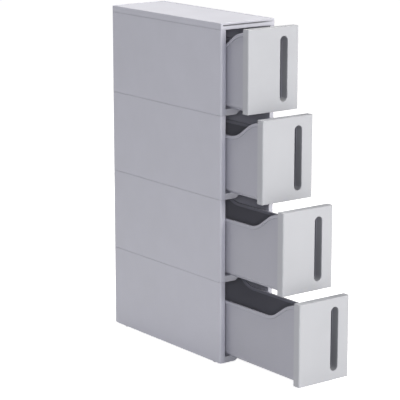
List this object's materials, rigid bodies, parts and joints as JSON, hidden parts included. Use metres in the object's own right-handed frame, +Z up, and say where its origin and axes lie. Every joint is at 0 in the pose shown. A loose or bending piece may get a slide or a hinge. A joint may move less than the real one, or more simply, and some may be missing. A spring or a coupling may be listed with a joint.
{
  "type": "drawer tower",
  "caption": "Slim free-standing plastic drawer tower on small wheels, with narrow deep drawers that slide out by upright grip slots.",
  "frame": {"origin": "on the floor under the middle of the casing, the open drawers left out", "axes": "+X to the right seen from the front, -Y forwards as the drawers open, +Z up"},
  "size_m": [0.153, 0.698, 0.787],
  "materials": {
    "casing_plastic": "light grey moulded plastic, satin",
    "shelf_plastic": "light grey moulded plastic, satin",
    "box_plastic": "light grey moulded plastic, satin",
    "front_plastic": "light grey moulded plastic, satin",
    "liner_plastic": "light grey moulded plastic, matt",
    "bracket_plastic": "grey moulded plastic, matt",
    "axle_steel": "drawn steel wire",
    "wheel_plastic": "white moulded plastic, smooth"
  },
  "bodies": {
    "casing": {"lid": "casing_plastic", "side_left_1": "casing_plastic", "side_left_2": "casing_plastic", "side_left_3": "casing_plastic", "side_left_4": "casing_plastic", "side_right_1": "casing_plastic", "side_right_2": "casing_plastic", "side_right_3": "casing_plastic", "side_right_4": "casing_plastic", "back_1": "casing_plastic", "back_2": "casing_plastic", "back_3": "casing_plastic", "back_4": "casing_plastic", "shelf_1": "shelf_plastic", "shelf_2": "shelf_plastic", "shelf_3": "shelf_plastic", "shelf_4": "shelf_plastic", "bracket_front_left": "bracket_plastic", "bracket_front_right": "bracket_plastic", "bracket_rear_left": "bracket_plastic", "bracket_rear_right": "bracket_plastic", "axle_front_left": "axle_steel", "axle_front_right": "axle_steel", "axle_rear_left": "axle_steel", "axle_rear_right": "axle_steel"},
    "drawer_1": {"drawer_box_1": "box_plastic", "drawer_front_1": "front_plastic", "front_liner_1": "liner_plastic"},
    "drawer_2": {"drawer_box_2": "box_plastic", "drawer_front_2": "front_plastic", "front_liner_2": "liner_plastic"},
    "drawer_3": {"drawer_box_3": "box_plastic", "drawer_front_3": "front_plastic", "front_liner_3": "liner_plastic"},
    "drawer_4": {"drawer_box_4": "box_plastic", "drawer_front_4": "front_plastic", "front_liner_4": "liner_plastic"},
    "wheel_front_left": {"wheel_front_left": "wheel_plastic"},
    "wheel_front_right": {"wheel_front_right": "wheel_plastic"},
    "wheel_rear_left": {"wheel_rear_left": "wheel_plastic"},
    "wheel_rear_right": {"wheel_rear_right": "wheel_plastic"}
  },
  "joints": [
    {"name": "drawer_1_slide", "type": "slide", "parent": "casing", "child": "drawer_1", "axis": [0, -1, 0], "range_m": [-0.253, 0.067]},
    {"name": "drawer_2_slide", "type": "slide", "parent": "casing", "child": "drawer_2", "axis": [0, -1, 0], "range_m": [-0.1945, 0.1255]},
    {"name": "drawer_3_slide", "type": "slide", "parent": "casing", "child": "drawer_3", "axis": [0, -1, 0], "range_m": [-0.1225, 0.1975]},
    {"name": "drawer_4_slide", "type": "slide", "parent": "casing", "child": "drawer_4", "axis": [0, -1, 0], "range_m": [-0.07, 0.25]},
    {"name": "wheel_front_left_spin", "type": "hinge", "parent": "casing", "child": "wheel_front_left", "pos_m": [-0.06775, -0.183, 0.012], "axis": [1, 0, 0], "continuous": true},
    {"name": "wheel_front_right_spin", "type": "hinge", "parent": "casing", "child": "wheel_front_right", "pos_m": [0.06775, -0.183, 0.012], "axis": [1, 0, 0], "continuous": true},
    {"name": "wheel_rear_left_spin", "type": "hinge", "parent": "casing", "child": "wheel_rear_left", "pos_m": [-0.06775, 0.171, 0.012], "axis": [1, 0, 0], "continuous": true},
    {"name": "wheel_rear_right_spin", "type": "hinge", "parent": "casing", "child": "wheel_rear_right", "pos_m": [0.06775, 0.171, 0.012], "axis": [1, 0, 0], "continuous": true}
  ]
}
